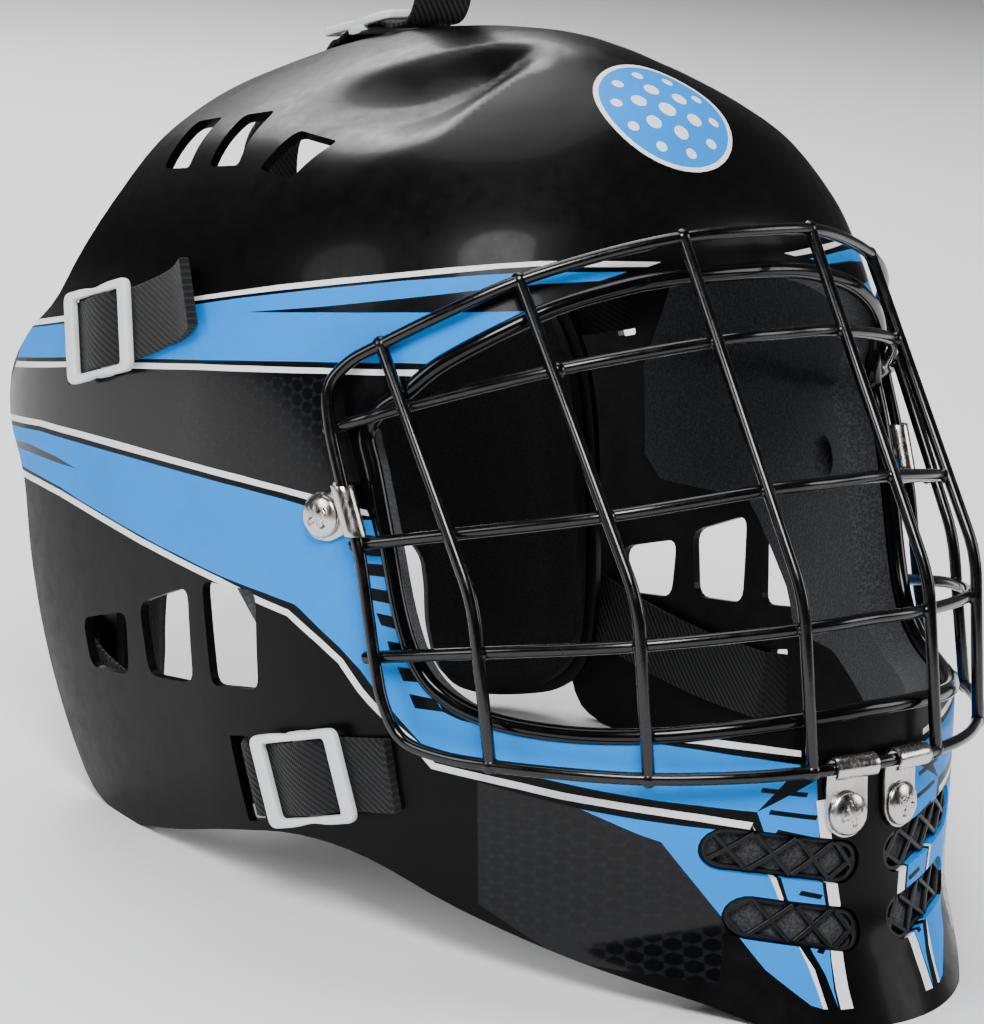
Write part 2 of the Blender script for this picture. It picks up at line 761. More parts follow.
def rim_outline():
    """Everything that is kept of the shell, in side view."""
    under = [(-128, floor_z(-128)), (-113, 7), (-78, 18), (-48, 28), (-19, 39), (8, 42), (40, 38),
             (72, 32), (97, floor_z(97))]
    rear = [(117, floor_z(117)), (131, 40), (146, 75), (153, 108), (156, 137), (170, 155),
            (169, 170), (152, 185), (131, 199), (117, 226), (119, 250), (127, 261), (133, 271),
            (136, 284)]
    run = flat_curve(under, 4) + flat_curve(rear, 4)
    return [(-200, floor_z(-200)), *run, (136, 330), (-200, 330)]


ACROSS = Matrix(((0, 0, 1, 0), (1, 0, 0, 0), (0, 1, 0, 0), (0, 0, 0, 1)))     # X is y, Y is z
AHEAD = Matrix(((1, 0, 0, 0), (0, 0, -1, 0), (0, 1, 0, 0), (0, 0, 0, 1)))     # X is x, Y is z

# ---- printed graphics, on the flat layout of the right half -------------------------------------
# Every outline is in degrees round the axis and height. Bands run along their top line and back
# along their bottom line.

BLACK, GLOSS, CELLS, BLUE, WHITE, INSIDE = range(6)
SHELL_LOOKS = [SATIN_BLACK, GLOSS_BLACK, HONEYCOMB, BLUE_INK, WHITE_INK, BARE_ABS]

UPPER_WHITE = [
    (131.8, 188.6), (120.5, 193.3), (91, 203.7), (79.1, 207.5), (71.2, 210.1), (60.8, 213),
    (51.6, 215.2), (44.3, 216.9), (37.1, 218.1), (31.3, 218.7), (22.3, 218.4), (12.4, 217.4),
    (14.8, 216.2), (23.6, 216.7), (31.3, 217.3), (37.1, 216.7), (44.2, 215.3), (51.5, 213.7),
    (60.7, 211.3), (71, 208.5), (79, 206.1), (92.2, 202), (120.8, 191.3), (133.1, 186.2),
]
UPPER_BLUE = [
    (133.3, 185.5), (120.2, 190.8), (87, 202.5), (78.9, 205.2), (63.9, 209.6), (51.5, 212.8),
    (39.9, 214.8), (34.2, 215.4), (28.5, 215.5), (18.3, 215), (22.7, 212.7), (31.5, 212.2),
    (39.9, 210.6), (51.2, 207.7), (63.6, 204.4), (77.3, 201.2), (63.5, 202.8), (51.1, 203.8),
    (39.9, 204.3), (33.3, 204.6), (37.2, 201.3), (41.2, 196.9), (44.5, 192.3), (46.1, 189.3),
    (50.7, 189.3), (66.3, 188), (77.8, 186.6), (87, 185.2), (97.5, 183.6), (120.7, 179.4),
    (135.5, 175.2),
]
UPPER_UNDERLINE = [
    (135.8, 173.8), (121.6, 177.7), (102.7, 181.5), (87, 184), (73.7, 185.6), (62.9, 186.6),
    (56.5, 187), (46.9, 187.6), (48.1, 185.7), (56.5, 185.3), (62.8, 184.9), (73.6, 183.8),
    (86.9, 182.2), (107.8, 178.8), (121.6, 176), (136.4, 171.6),
]
LOWER_WHITE = [
    (141.3, 155), (128.1, 156.8), (117.9, 156.3), (107.7, 155.4), (97.3, 154.2), (86.8, 153.1),
    (77.5, 151.9), (69.4, 150.3), (63.9, 149), (56.4, 146.2), (54.8, 145.9), (54.4, 144.2),
    (56.4, 144.4), (64.8, 147.3), (69.4, 148.5), (77.5, 149.9), (86.8, 151.1), (97.3, 152.1),
    (107.8, 153.1), (117.9, 154.2), (128.2, 154.8), (142.4, 152.8),
]
LOWER_BLUE = [
    (140.4, 151.6), (128.2, 153.2), (117.9, 152.4), (107.8, 151.4), (97.3, 150.3), (86.8, 149.3),
    (77.5, 148.1), (69.4, 146.6), (65.3, 145.4), (56.4, 142.7), (54.1, 143.1), (51.9, 126.6),
    (50.5, 118.3), (48.2, 109.6), (46.6, 100.7), (44.2, 88.1), (42.1, 86.2), (39.7, 85.3),
    (37.4, 85.5), (30.9, 86.2), (27, 86), (23.1, 83.4), (17.6, 81), (12, 77.9), (8, 75.4),
    (12.2, 62.2), (17.5, 64.4), (21.2, 65.7), (26.9, 68.1), (33, 70.9), (37.9, 72.4),
    (39.7, 73.8), (42.1, 75), (44.6, 76.4), (46.9, 77.3), (50, 84.1), (54.5, 94.4), (55.8, 97.7),
    (59, 103.6), (62.4, 108.5), (65.9, 113.7), (67, 114.9), (73.2, 117), (78.1, 118.4),
    (82.5, 119.7), (87.4, 121.4), (92.6, 123.2), (97.9, 124.9), (103.1, 127), (108.2, 129.1),
    (113.3, 131.5), (118.3, 133.8), (123.2, 136.5), (128.4, 138.3), (135.4, 140.2),
]
REAR_WEDGE = [
    (138.1, 147.5), (131, 147.9), (124.3, 146.3), (118.8, 143.7), (125.6, 144.5), (131.1, 145.2),
    (136.8, 145.3),
]
# Middle line of the white stripe under the lower blue, and how thick it is.
UNDER_STRIPE = [
    (134.4, 137.6), (128.5, 136.2), (123.3, 134.5), (118.3, 132.2), (113.3, 129.8), (108.3, 127.5),
    (103.1, 125.2), (97.9, 123.3), (92.6, 121.4), (87.4, 119.7), (82.5, 118), (73.7, 114.1),
    (68.2, 111.9), (67.2, 110.6), (62.4, 104.5), (59, 99.6), (55.9, 91.6), (54.2, 88.1),
    (51.9, 83.9), (48.1, 77.6), (45.6, 71.3), (39.7, 69.5), (35.1, 67.9), (30.9, 66),
    (26.9, 64.6), (21.2, 62.4), (17.5, 60.8), (12.7, 58.1),
]
CHIN_WHITE = [
    (26.7, 86.9), (23.1, 86.4), (17.6, 84.8), (12, 82), (8, 79.6), (8, 77.8), (12, 80),
    (17.6, 82.7), (23.1, 84.3), (26.4, 86.3),
]
CHIN_PANEL = [
    (28.8, 62.3), (26.8, 60), (23, 55.4), (21, 53.4), (17.3, 39.1), (13.7, 24.8), (11.8, 15.8),
    (8.3, 5.4), (7.3, 4.3), (7.5, 10.1), (7.9, 16.5), (8.7, 25.9), (10.1, 37), (11.2, 45.3),
    (12.2, 56), (13.3, 56.4), (17.4, 57.8), (23, 59.9),
]
CHIN_DIAGONAL = [
    (12.7, 58.7), (12.2, 56), (11.2, 45.3), (10.1, 37), (8.7, 25.9), (7.9, 16.5), (7.5, 10.1),
    (7.3, 4.3), (6.9, 4.2), (7.3, 15), (8.9, 25.9), (9.6, 36.6), (10.6, 45.2),
]
CHIN_INNER = [
    (6.4, 70.5), (12.2, 62.2), (11.4, 55.3), (10.1, 45.1), (9.2, 36.3), (7.6, 23.3), (6.4, 13.4),
    (5.9, 4.2), (5.9, 9.1), (5.6, 17.3), (5.3, 22.7), (5.3, 32.8), (5.6, 38.9), (6, 52.5),
]
INNER_STRIPE = [
    (5.8, 64.4), (5.3, 52.3), (4.6, 38.6), (4.3, 32.5), (4.6, 22.4), (4.9, 17), (5.1, 8.9),
    (5.1, 3.7),
]
CHIN_DASHES = [
    [(11.8, 68.7), (7.3, 66.3)], [(11, 62), (6.3, 59.2)], [(10.3, 56), (6.5, 52.7)],
    [(7.9, 37.2), (5.7, 35.3)], [(6.6, 20.3), (6, 19.6)],
]
EDGE_BARS = [
    [(56.1, 138.6), (53.4, 138.5), (52.3, 132.5), (55.4, 132.4)],
    [(55.1, 130.1), (51.9, 130.2), (51, 126.5), (54.8, 126.6)],
    [(54.8, 123), (50.6, 122.4), (49.8, 118.5), (54.1, 119.3)],
    [(53.3, 115.6), (49.2, 114.7), (48.4, 110.7), (52.6, 112.1)],
    [(51.7, 107.5), (47.8, 107.3), (47.2, 104.7), (51.3, 104.3)],
    [(50.3, 100.1), (46.6, 100.1), (46.1, 96.3), (49.5, 96.1)],
    [(48.7, 92.4), (45.3, 91.7), (44.1, 88.1), (47.9, 88.3)],
]
GLOSS_BAND = [
    (136.4, 171.6), (121.6, 176), (107.8, 178.8), (86.9, 182.2), (73.6, 183.8), (62.8, 184.9),
    (56.5, 185.3), (48.1, 185.7), (55.8, 168), (54.5, 157), (54.8, 145.9), (56.4, 146.2),
    (63.9, 149), (69.4, 150.3), (77.5, 151.9), (86.8, 153.1), (97.3, 154.2), (107.7, 155.4),
    (117.9, 156.3), (128.1, 156.8), (141.3, 155),
]
HONEY_SIDE = [(92, 180), (62, 184), (60, 166), (64, 150), (80, 153), (93, 155)]
HONEY_CHEEK = [(14, 42), (24, 60), (40, 68), (40, 30), (30, 16), (16, 12)]


def line_band(points, width):
    """The outline of a stripe of even width, in millimetres, along a line on the flat layout."""
    flat = [Vector((x * MM_PER_DEGREE, z)) for x, z in points]
    sides = ([], [])
    for i, here in enumerate(flat):
        along = (flat[min(i + 1, len(flat) - 1)] - flat[max(i - 1, 0)]).normalized()
        out = Vector((-along.y, along.x)) * width / 2
        sides[0].append(here + out)
        sides[1].append(here - out)
    return [(p.x / MM_PER_DEGREE, p.y) for p in sides[0] + sides[1][::-1]]


def raised_rows(outline):
    """Heights above the flat layout's limit become its rows."""
    return [(x, z if z <= FLAT_Z else FLAT_Z + (level_of(z) - FLAT_SECTION) * ROW_MM)
            for x, z in outline]


def print_graphics(bm):
    """Prints every band and bar, the later ones over the earlier."""
    prints = [
        (GLOSS_BAND, GLOSS), (HONEY_SIDE, CELLS), (HONEY_CHEEK, CELLS), (UPPER_WHITE, WHITE),
        (UPPER_BLUE, BLUE), (UPPER_UNDERLINE, WHITE), (LOWER_WHITE, WHITE), (LOWER_BLUE, BLUE),
        (REAR_WEDGE, GLOSS), (line_band(UNDER_STRIPE, 2.1), WHITE), (CHIN_WHITE, WHITE),
        (CHIN_PANEL, BLUE), (CHIN_DIAGONAL, WHITE), (CHIN_INNER, BLUE),
        (line_band(INNER_STRIPE, 2.4), WHITE),
    ]
    prints += [(line_band(dash, 1.4), BLACK) for dash in CHIN_DASHES]
    prints += [(bar, BLACK) for bar in EDGE_BARS]
    for outline, index in prints:
        paint(bm, raised_rows(outline), index)


# ---- shell -------------------------------------------------------------------------------------


def flat_half(columns, rows, turn_to, low, high):
    """An open sheet on the flat layout, from straight ahead to straight back."""
    bm = bmesh.new()
    bmesh.ops.create_grid(bm, x_segments=columns, y_segments=rows, size=0.5)
    bmesh.ops.translate(bm, vec=(0.5, 0.5, 0), verts=bm.verts)
    bmesh.ops.scale(bm, vec=(turn_to, high - low, 1), verts=bm.verts)
    bmesh.ops.translate(bm, vec=(0, low, 0), verts=bm.verts)
    return bm


def wrap(bm, off):
    """Lays a flat sheet on the shell's surface, and keeps each vertex's turn and level."""
    turn = bm.verts.layers.float.new("turn")
    level = bm.verts.layers.float.new("level")
    uv = bm.loops.layers.uv.new("flat")
    for face in bm.faces:
        for loop in face.loops:
            loop[uv].uv = (loop.vert.co.x * MM_PER_DEGREE, loop.vert.co.y)
    for vert in bm.verts:
        vert[turn] = math.radians(vert.co.x)
        vert[level] = level_of_row(vert.co.y)
        vert.co = shell_point(vert[level], vert[turn], off)


NORMALS = {}


def outward(vert, turn, level, exact=True):
    """The surface normal at a vertex of either half."""
    key = (round(vert[level], 4), round(vert[turn], 5), exact)
    if key not in NORMALS:
        NORMALS[key] = (shell_normal if exact else plain_normal)(vert[level], vert[turn])
    out = NORMALS[key]
    return Vector((-out.x, out.y, out.z)) if vert.co.x < 0 else out


BADGE_Z = 261
BADGE_AT = shell_point(level_of(BADGE_Z), 0)
BADGE_OUT = plain_normal(level_of(BADGE_Z), 0)
BADGE_R = 23.5
BADGE_RIM = 1.6
BADGE_DOTS = [(1, 0, 3), (6, 9.4, 2.6), (10, 17, 1.9)]     # how many, how far out, radius


def badge(bm):
    """A round blue mark with a white rim and a plain pattern of dots."""
    view = basis(Vector((1, 0, 0)), BADGE_OUT.cross(Vector((1, 0, 0))), BADGE_OUT, BADGE_AT)
    paint(bm, ring(0, 0, BADGE_R, 48), WHITE, view, NEAR_SURFACE)
    paint(bm, ring(0, 0, BADGE_R - BADGE_RIM, 48), BLUE, view, NEAR_SURFACE)
    for count, radius, size in BADGE_DOTS:
        for i in range(count):
            turn = TAU * (i + 0.5) / count
            x, y = radius * math.cos(turn), radius * math.sin(turn)
            if x > -0.1 or not radius:
                paint(bm, ring(x, y, size, 14), WHITE, view, NEAR_SURFACE)


def strap_slot(bm, width, length, view):
    w, h = width / 2, length / 2
    punch(bm, rounded([(-w, -h), (w, -h), (w, h), (-w, h)], 1), view, NEAR_SURFACE)


ON_WALL = 0.7     # how nearly a wall's face lies along the surface


def surface_normals(bm, turn, level):
    """A normal for each corner: the smooth surface's on both walls, the face's own on edges."""
    tilt = Matrix.Rotation(-REST_TILT, 3, 'X')
    normals = []
    bm.normal_update()
    for face in bm.faces:
        lie = face.normal.dot(outward(face.verts[0], turn, level, False))
        for loop in face.loops:
            if lie > ON_WALL:
                normals.append(tilt @ outward(loop.vert, turn, level))
            elif lie < -ON_WALL:
                normals.append(tilt @ -outward(loop.vert, turn, level))
            else:
                normals.append(tilt @ face.normal)
    return normals


def build_shell():
    bm = flat_half(120, 164, 180, SECTIONS[0][0], FLAT_Z + (TOP_ROW - FLAT_SECTION) * ROW_MM)
    print_graphics(bm)
    past_middle = -5
    punch(bm, EDGE + [(past_middle, EDGE[-1][1]), (past_middle, EDGE[0][1])])
    wrap(bm, 0)
    crop(bm, rim_outline(), ACROSS)
    for corner, outline in SIDE_VENTS + CROWN_VENTS:
        punch(bm, rounded(outline, corner), ACROSS)
    for slot in CHIN_SLOTS.values():
        punch(bm, slot_outline(*slot), AHEAD, (60, 300))
    for y, z, lean in STRAP_SLOTS:
        strap_slot(bm, SLOT_W, 2 * SLOT_HALF, shell_frame(1, y, z, lean))
    y, z, lean = TOP_SLOT
    up = Vector((0, math.sin(math.radians(lean)), math.cos(math.radians(lean))))
    across = Vector((1, 0, 0))
    strap_slot(bm, 2 * SLOT_HALF, TOP_SLOT_W,
               basis(across, up.cross(across), up, Vector((0, y, z))))
    for view in (chin_frame(1), temple_frame(1)):
        punch(bm, ring(0, 0, HOLE_R, 16), view, NEAR_SURFACE)
    badge(bm)
    mirror_half(bm)
    crown_hole = 284.3     # the grid stops short of the very top
    top = [e for e in bm.edges if e.is_boundary and min(v.co.z for v in e.verts) > crown_hole]
    bmesh.ops.holes_fill(bm, edges=top, sides=0)
    bmesh.ops.recalc_face_normals(bm, faces=bm.faces)
    turn = bm.verts.layers.float["turn"]
    level = bm.verts.layers.float["level"]
    for face in thicken(bm, lambda vert: outward(vert, turn, level, False) * -WALL):
        face.material_index = INSIDE
    piece("printed_shell", bm, SHELL_LOOKS, "shell", ["shell"],
          normals=surface_normals(bm, turn, level))


# ---- cage --------------------------------------------------------------------------------------

WIRE_R = 1.9
SINK = 3.0        # cross wires sit this far inside the uprights that they are welded to
UPRIGHT_BEND = 8
WELD_R = 2.45
END_WELD_R = 2.6

FRAME_WIRE = [
    (0, -76.5, 226.3), (25.6, -73.6, 225.4), (48, -64.5, 221), (71, -53, 213.8), (88, -41.5, 205),
    (101.5, -26, 194.7), (108, -18.5, 189), (112.5, -15, 181.5), (113.5, -17, 170),
    (113.4, -21.5, 157), (113, -25.5, 146), (112.5, -30, 134), (112, -33, 118), (111.5, -36, 102),
    (111, -39.5, 90), (108.5, -45, 80.5), (104, -57, 77), (97, -72, 75.8), (84, -91, 74.8),
    (67, -107.5, 73.8), (46, -123, 74), (25, -131.5, 74.3), (0, -135, 74.6),
]
UPRIGHTS = [
    [(25.6, -73.6, 225.4), (25.3, -127, 125), (25, -131.5, 74.3)],
    [(71, -53, 213.8), (68.5, -104, 125), (67, -107.5, 73.8)],
    [(101.5, -26, 194.7), (98, -65, 123), (97, -72, 75.8)],
]
CROSS_WIRES = [
    [(0, -92, 196.5), (25.5, -90, 195.7), (69.5, -69, 188.5), (100.8, -35.5, 176.8),
     (110, -27, 173), (114.5, -15, 169)],
    [(0, -115, 154.5), (25.4, -112.5, 154), (69, -91.5, 148), (98, -54.5, 141), (114, -27, 136)],
    [(0, -131, 116), (25.2, -128.6, 115.4), (68, -105.2, 112), (98, -68.5, 108), (113, -32, 103)],
]


def flip(p):
    """A point's mirror image."""
    return Vector((-p[0], p[1], p[2]))


def bend(points, radius, steps=6):
    """A line with its inner corners rounded."""
    rows = [Vector(p) for p in points]
    line = [rows[0]]
    for before, here, after in zip(rows, rows[1:], rows[2:]):
        start = here + (before - here).normalized() * radius
        end = here + (after - here).normalized() * radius
        for j in range(steps + 1):
            t = j / steps
            line.append((1 - t) ** 2 * start + 2 * t * (1 - t) * here + t * t * end)
    return line + [rows[-1]]


def outside(point, _):
    """Away from the middle of the mask and a little up."""
    return point.x, point.y - AXIS_Y, 30


def wire(bm, points, radius=WIRE_R, closed=False):
    """A round wire; open ends are rounded over."""
    spots = track(points, outside, closed)
    if not closed:
        caps = [(0.85, 0.4), (0.6, 0.72), (0.25, 0.95)]
        tail = [spots[-1] @ Matrix.Translation((radius * x * 0.8, 0, 0)) @ Matrix.Scale(s, 4)
                for s, x in caps]
        head = [spots[0] @ Matrix.Translation((-radius * x * 0.8, 0, 0)) @ Matrix.Scale(s, 4)
                for s, x in caps]
        spots = head[::-1] + spots + tail
    sweep(bm, disc(radius), spots, closed)


def weld(bm, at, radius=WELD_R):
    """A small run of weld metal where two wires touch."""
    out = Vector(outside(at, 0)).normalized()
    side = out.cross(Vector((0, 0, 1))).normalized()
    shape = basis(side, out.cross(side), out, at) @ Matrix.Diagonal((1.05, 1.05, 0.8, 1))
    bmesh.ops.create_uvsphere(bm, u_segments=14, v_segments=8, radius=radius, matrix=shape)


def build_cage():
    bm = bmesh.new()
    half = [Vector(p) for p in FRAME_WIRE]
    wire(bm, curve(half + [flip(p) for p in half[-2:0:-1]], 5, closed=True), closed=True)
    for row in UPRIGHTS:
        for points in (row, [flip(p) for p in row]):
            wire(bm, bend(points, UPRIGHT_BEND))
            for end in (points[0], points[-1]):
                weld(bm, Vector(end), END_WELD_R)
    for row in CROSS_WIRES:
        lay = [Vector(p) - Vector((p[0], p[1] - AXIS_Y, 0)).normalized() * SINK for p in row]
        wire(bm, curve([flip(p) for p in lay[:0:-1]] + lay, 7))
        for point, place in list(zip(row, lay))[1:4]:     # where it crosses three uprights
            touch = Vector(point).lerp(place, 0.5)
            weld(bm, touch)
            weld(bm, flip(touch))
    bmesh.ops.recalc_face_normals(bm, faces=bm.faces)
    piece("wire_cage", bm, [POWDER_COAT], "wire", ["cage"], sharp=60)


# ---- piping and lining round the face ----------------------------------------------------------

PIPING_R = 2.6


def build_piping():
    """Soft piping over the shell's edge, all round the opening."""
    half = [shell_point(level_of(z), math.radians(x), -1.2) for x, z in grown(EDGE, -0.9)]
    loop = half + [flip(p) for p in half[-2:0:-1]]
    bm = bmesh.new()
    sweep(bm, disc(PIPING_R), track(loop, outside, closed=True), closed=True)
    bmesh.ops.recalc_face_normals(bm, faces=bm.faces)
    piece("opening_piping", bm, [PIPING], "shell", sharp=60)


CHEEK_FOAM = 12
BROW_FOAM = 9
LINING_SETBACK = 2
LINING_FAR = [
    (0, 9), (16.3, 9), (22.8, 16), (26, 60), (39.4, 60), (56.8, 78), (68.6, 80), (71.6, 94),
    (83.2, 122), (109.6, 124), (110.3, 170), (96.6, 232), (0, 232),
]
LINING_GAP = (168.5, 171.5)     # between the cheek foam and the brow foam
LINING_HOLE_R = 7.5             # clear of a clip's nut


def lining_reach(x, z):
    """How many times farther from the opening's middle the lining's far edge is."""
    rise = z - OPENING_MIDDLE
    best = 9.0
    for (ax, ay), (bx, by) in zip(LINING_FAR, LINING_FAR[1:]):
        dx, dy = bx - ax, by - ay
        lift = ay - OPENING_MIDDLE
        down = x * dy - rise * dx
        if abs(down) > 1e-9:
            times = (ax * dy - lift * dx) / down
            along = (times * x - ax) * dx + (times * rise - lift) * dy
            along /= dx * dx + dy * dy
            if times > 1 and -1e-6 <= along <= 1 + 1e-6:
                best = min(best, times)
    return best


def build_lining():
    """Cheek and brow foam: a band round the opening with its edges rounded over."""
    inner = grown(EDGE, LINING_SETBACK)
    count, rows = len(inner) - 1, 9
    bm = bmesh.new()
    bmesh.ops.create_grid(bm, x_segments=count, y_segments=rows, size=0.5)
    turn = bm.verts.layers.float.new("turn")
    level = bm.verts.layers.float.new("level")
    for vert in bm.verts:
        x, z = inner[round((vert.co.x + 0.5) * count)]
        far = 1 + (lining_reach(x, z) - 1) * (vert.co.y + 0.5) ** 1.5
        vert[turn] = math.radians(x * far)
        vert[level] = level_of(OPENING_MIDDLE + (z - OPENING_MIDDLE) * far)
        vert.co = shell_point(vert[level], vert[turn], -WALL - GAP)
        vert.tag = LINING_GAP[0] < z < LINING_GAP[1] and x > 20
    gone = [f for f in bm.faces if all(v.tag for v in f.verts)]
    bmesh.ops.delete(bm, geom=gone, context='FACES')
    for view in (chin_frame(1), temple_frame(1)):
        punch(bm, ring(0, 0, LINING_HOLE_R, 24), view, (-30, 12))
    mirror_half(bm)
    bmesh.ops.recalc_face_normals(bm, faces=bm.faces)
    brow = level_of(LINING_GAP[0])

    def inward(vert):
        depth = BROW_FOAM if vert[level] > brow else CHEEK_FOAM
        return outward(vert, turn, level, False) * -depth

    thicken(bm, inward)
    soften(bm, 1.8, 3, 55)
    lining = piece("face_foam", bm, [LINING_FOAM], "foam", ["foam_liner"], sharp=70)


# ---- clips, screws and nuts --------------------------------------------------------------------

CLIP_T = 1.0
HOOK_GAP = 0.6
CLIP_W = 14.5
TEMPLE_RISE = 3.3     # how far the temple hook sits off the screw, along the wire
CHIN_WIRE = [Vector((-3, -134.9, 74.6)), Vector((-20, -132.6, 74.4))]
TEMPLE_WIRE = [Vector((-113.4, -21.5, 157)), Vector((-112.5, -30, 134))]


def clip_line(x, z):
    """The clip's middle line from its round end, up a ramp and round the wire at (x, z)."""
    seat = GAP + CLIP_T / 2
    hook = WIRE_R + HOOK_GAP + CLIP_T / 2
    knee = min(7.5, x - hook - 2)

    def round_wire(degrees):
        return Vector((x + hook * math.cos(math.radians(degrees)), 0,
                       z + hook * math.sin(math.radians(degrees))))

    line = bend([(-CLIP_W / 2, 0, seat), (knee, 0, seat), round_wire(-95)], 1.5)
    return line + [round_wire(degrees) for degrees in range(-85, 191, 10)]


def build_clip(name, node, view, stretch, rise=0.0):
    """A strip with one round end, bent to its line and given the sheet's thickness."""
    local = [view.inverted() @ p for p in stretch]
    middle = local[0].lerp(local[1], -local[0].y / (local[1].y - local[0].y))
    slope = (local[1].x - local[0].x) / (local[1].y - local[0].y)
    line = clip_line(middle.x, middle.z)
    lengths = [0.0]
    for a, b in zip(line, line[1:]):
        lengths.append(lengths[-1] + (b - a).length)
    total, w = lengths[-1], CLIP_W / 2
    bm = bmesh.new()
    bmesh.ops.create_grid(bm, x_segments=56, y_segments=8, size=0.5)
    bmesh.ops.scale(bm, vec=(total, CLIP_W, 1), verts=bm.verts)
    bmesh.ops.translate(bm, vec=(total / 2, 0, 0), verts=bm.verts)
    round_end = [(w + w * math.cos(math.radians(a)), w * math.sin(math.radians(a)))
                 for a in range(90, 271, 10)]
    outline = round_end + [(total - 2, -w), (total - 0.6, -w + 0.6), (total, -w + 2),
                           (total, w - 2), (total - 0.6, w - 0.6), (total - 2, w)]
    crop(bm, outline)
    punch(bm, ring(w, 0, HOLE_R, 24))
    out = bm.verts.layers.float_vector.new("out")
    for vert in bm.verts:
        s, y = vert.co.x, vert.co.y
        i = min(max(sum(1 for q in lengths if q <= s) - 1, 0), len(line) - 2)
        t = (s - lengths[i]) / (lengths[i + 1] - lengths[i])
        at = line[i].lerp(line[i + 1], t)
        before = (line[i + 1] - line[i]).normalized()
        after = (line[min(i + 2, len(line) - 1)] - line[min(i + 1, len(line) - 2)]).normalized()
        ahead = before.lerp(after, t).normalized()
        bent = smooth(w + 2, w + 9, s)
        y += rise * bent
        vert[out] = Vector((-ahead.z, 0, ahead.x))
        vert.co = at + Vector((slope * y * bent, y, 0)) - vert[out] * CLIP_T / 2
    thicken(bm, lambda vert: vert[out] * CLIP_T)
    soften(bm, 0.25, 2)
    bmesh.ops.transform(bm, matrix=view, verts=bm.verts)
    pair(name, bm, [NICKEL], "fitting", node)


def spun(bm, profile, steps=40):
    """A solid of revolution about Z from a profile of (radius, height)."""
    verts = [bm.verts.new((r, 0, z)) for r, z in profile]
    edges = [bm.edges.new(ends) for ends in zip(verts, verts[1:])]
    bmesh.ops.spin(bm, geom=verts + edges, axis=(0, 0, 1), cent=(0, 0, 0), angle=TAU, steps=steps,
                   use_merge=True)
    bmesh.ops.remove_doubles(bm, verts=bm.verts, dist=0.001)
    bmesh.ops.recalc_face_normals(bm, faces=bm.faces)


SCREW_SHAFT = [(0, -10), (1.9, -10), (2.4, -9.4), (2.4, 0)]     # radius, and height on the wall
# Radius, and height above the seat.
SCREW_HEAD = [(6.3, 0), (6.6, 0.25), (6.6, 0.7), (6.35, 1.15), (5.6, 1.65), (4.4, 2.15),
              (2.9, 2.55), (1.4, 2.75), (0, 2.8)]
RECESS_FLOOR = 0.4
RECESS_ARM = 3.7
RECESS_HALF_W = 0.75


def build_screw(name, node, view, turned):
    """A pan-head screw with a cross recess."""
    rest = GAP + CLIP_T + 0.3
    bm = bmesh.new()
    spun(bm, SCREW_SHAFT[:-1] + [(SCREW_SHAFT[-1][0], rest)]
         + [(r, rest + z) for r, z in SCREW_HEAD])
    a, w = RECESS_ARM, RECESS_HALF_W
    cross = [(w, w), (w, a), (-w, a), (-w, w), (-a, w), (-a, -w), (-w, -w), (-w, -a), (w, -a),
             (w, -w), (a, -w), (a, w)]
    turn = Matrix.Rotation(math.radians(turned), 4, 'Z')
    sunk = [face for face, middle in trace(bm, cross, turn, (rest + 1.3, rest + 9)).items()
            if inside(cross, middle.x, middle.y)]
    made = bmesh.ops.extrude_face_region(bm, geom=sunk)["geom"]
    for vert in only(BMVert, made):
        vert.co.z = rest + RECESS_FLOOR
    bmesh.ops.recalc_face_normals(bm, faces=bm.faces)
    bmesh.ops.transform(bm, matrix=view, verts=bm.verts)
    pair(name, bm, [NICKEL], "fitting", node, sharp=35)


NUT_R = 4.6
NUT_H = 3.4
NUT_DROP = 1.6     # the flat nut stands off the curved wall


def build_nut(name, node, view):
    """A hexagon nut with its corners turned off."""
    under = Matrix.Translation((0, 0, -WALL - NUT_DROP - NUT_H))
    bm = bmesh.new()
    bmesh.ops.create_circle(bm, cap_ends=True, segments=6, radius=NUT_R,
                            matrix=under @ Matrix.Rotation(math.radians(30), 4, 'Z'))
    made = bmesh.ops.extrude_face_region(bm, geom=bm.faces[:])["geom"]
    bmesh.ops.translate(bm, vec=(0, 0, NUT_H), verts=only(BMVert, made))
    soften(bm, 0.35, 2)
    bmesh.ops.transform(bm, matrix=view, verts=bm.verts)
    pair(name, bm, [NICKEL], "fitting", node)


# ---- chin vent grids ---------------------------------------------------------------------------

GRID_BAR = 1.5
GRID_DEPTH = 1.8
GRID_PITCH = 12


def front_spot(x, z, off):
    """Point and normal on the first side of the chin, x from the centre plane."""
    k = level_of(z)
    turn = front_turn(-x, k)
    return shell_point(k, turn, off), plain_normal(k, turn)


def laid(bm, points, closed=False):
    """A flat moulded bar along points in front view, just under the shell's surface."""
    spots = [front_spot(x, z, -GRID_DEPTH) for x, z in points]
    sweep(bm, strip(GRID_BAR, GRID_DEPTH, 0.45), track(
        [p for p, _ in spots], lambda _, i: spots[i][1], closed), closed)


